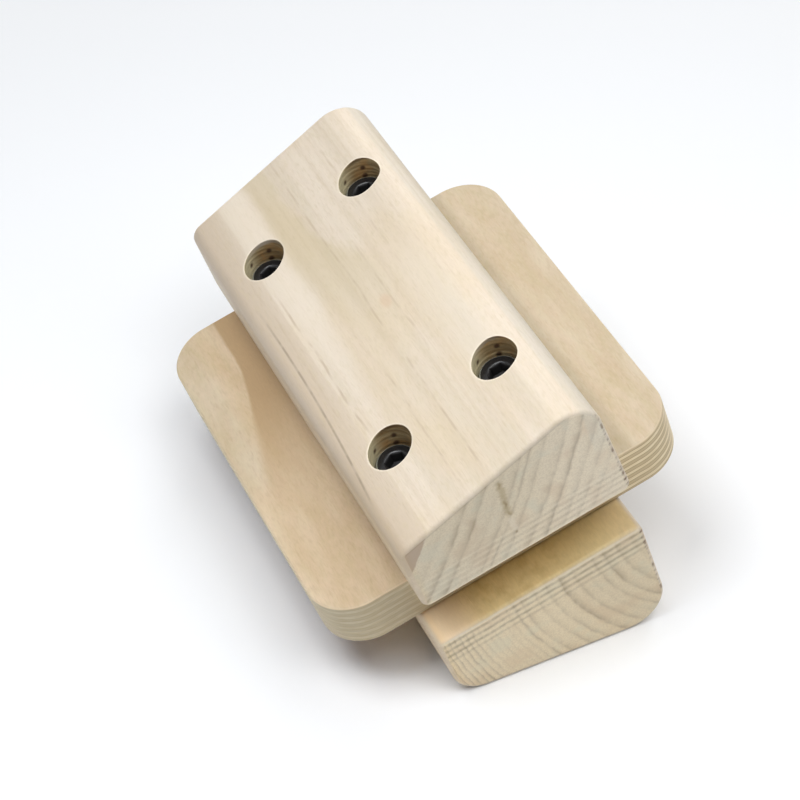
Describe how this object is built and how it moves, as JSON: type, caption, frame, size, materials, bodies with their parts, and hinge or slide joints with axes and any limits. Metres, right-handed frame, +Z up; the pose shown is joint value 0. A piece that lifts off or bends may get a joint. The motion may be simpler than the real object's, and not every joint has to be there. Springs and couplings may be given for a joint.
{
  "type": "wooden pinch block hangboard",
  "caption": "Pinch training block: wedge-shaped wooden grips bolted to both faces of a round-cornered plywood plate by screws in deep counterbores.",
  "frame": {"origin": "on the surface that the lower block's sloping outer face lies on, under the middle of the plate", "axes": "+Y along the wedge blocks, to the end that is far in the picture; +X level, from the blocks' thin side to their thick side; +Z up. The plate is tilted 15.5 degrees about Y, as the part lies on its lower block"},
  "size_m": [0.1238, 0.165, 0.1042],
  "materials": {
    "pale_block_wood": "sanded, unfinished solid wood",
    "birch_plywood": "sanded birch plywood with its layers showing at the edges",
    "black_steel": "black oxide",
    "plated_steel": "zinc plated"
  },
  "bodies": {
    "root": {"upper_block": "pale_block_wood", "lower_block": "pale_block_wood", "plywood_plate": "birch_plywood", "screw_thin_near": "black_steel", "head_washer_thin_near": "black_steel", "nut_washer_thin_near": "plated_steel", "nut_thin_near": "plated_steel", "screw_thick_near": "black_steel", "head_washer_thick_near": "black_steel", "nut_washer_thick_near": "plated_steel", "nut_thick_near": "plated_steel", "screw_thin_far": "black_steel", "head_washer_thin_far": "black_steel", "nut_washer_thin_far": "plated_steel", "nut_thin_far": "plated_steel", "screw_thick_far": "black_steel", "head_washer_thick_far": "black_steel", "nut_washer_thick_far": "plated_steel", "nut_thick_far": "plated_steel"}
  },
  "joints": []
}
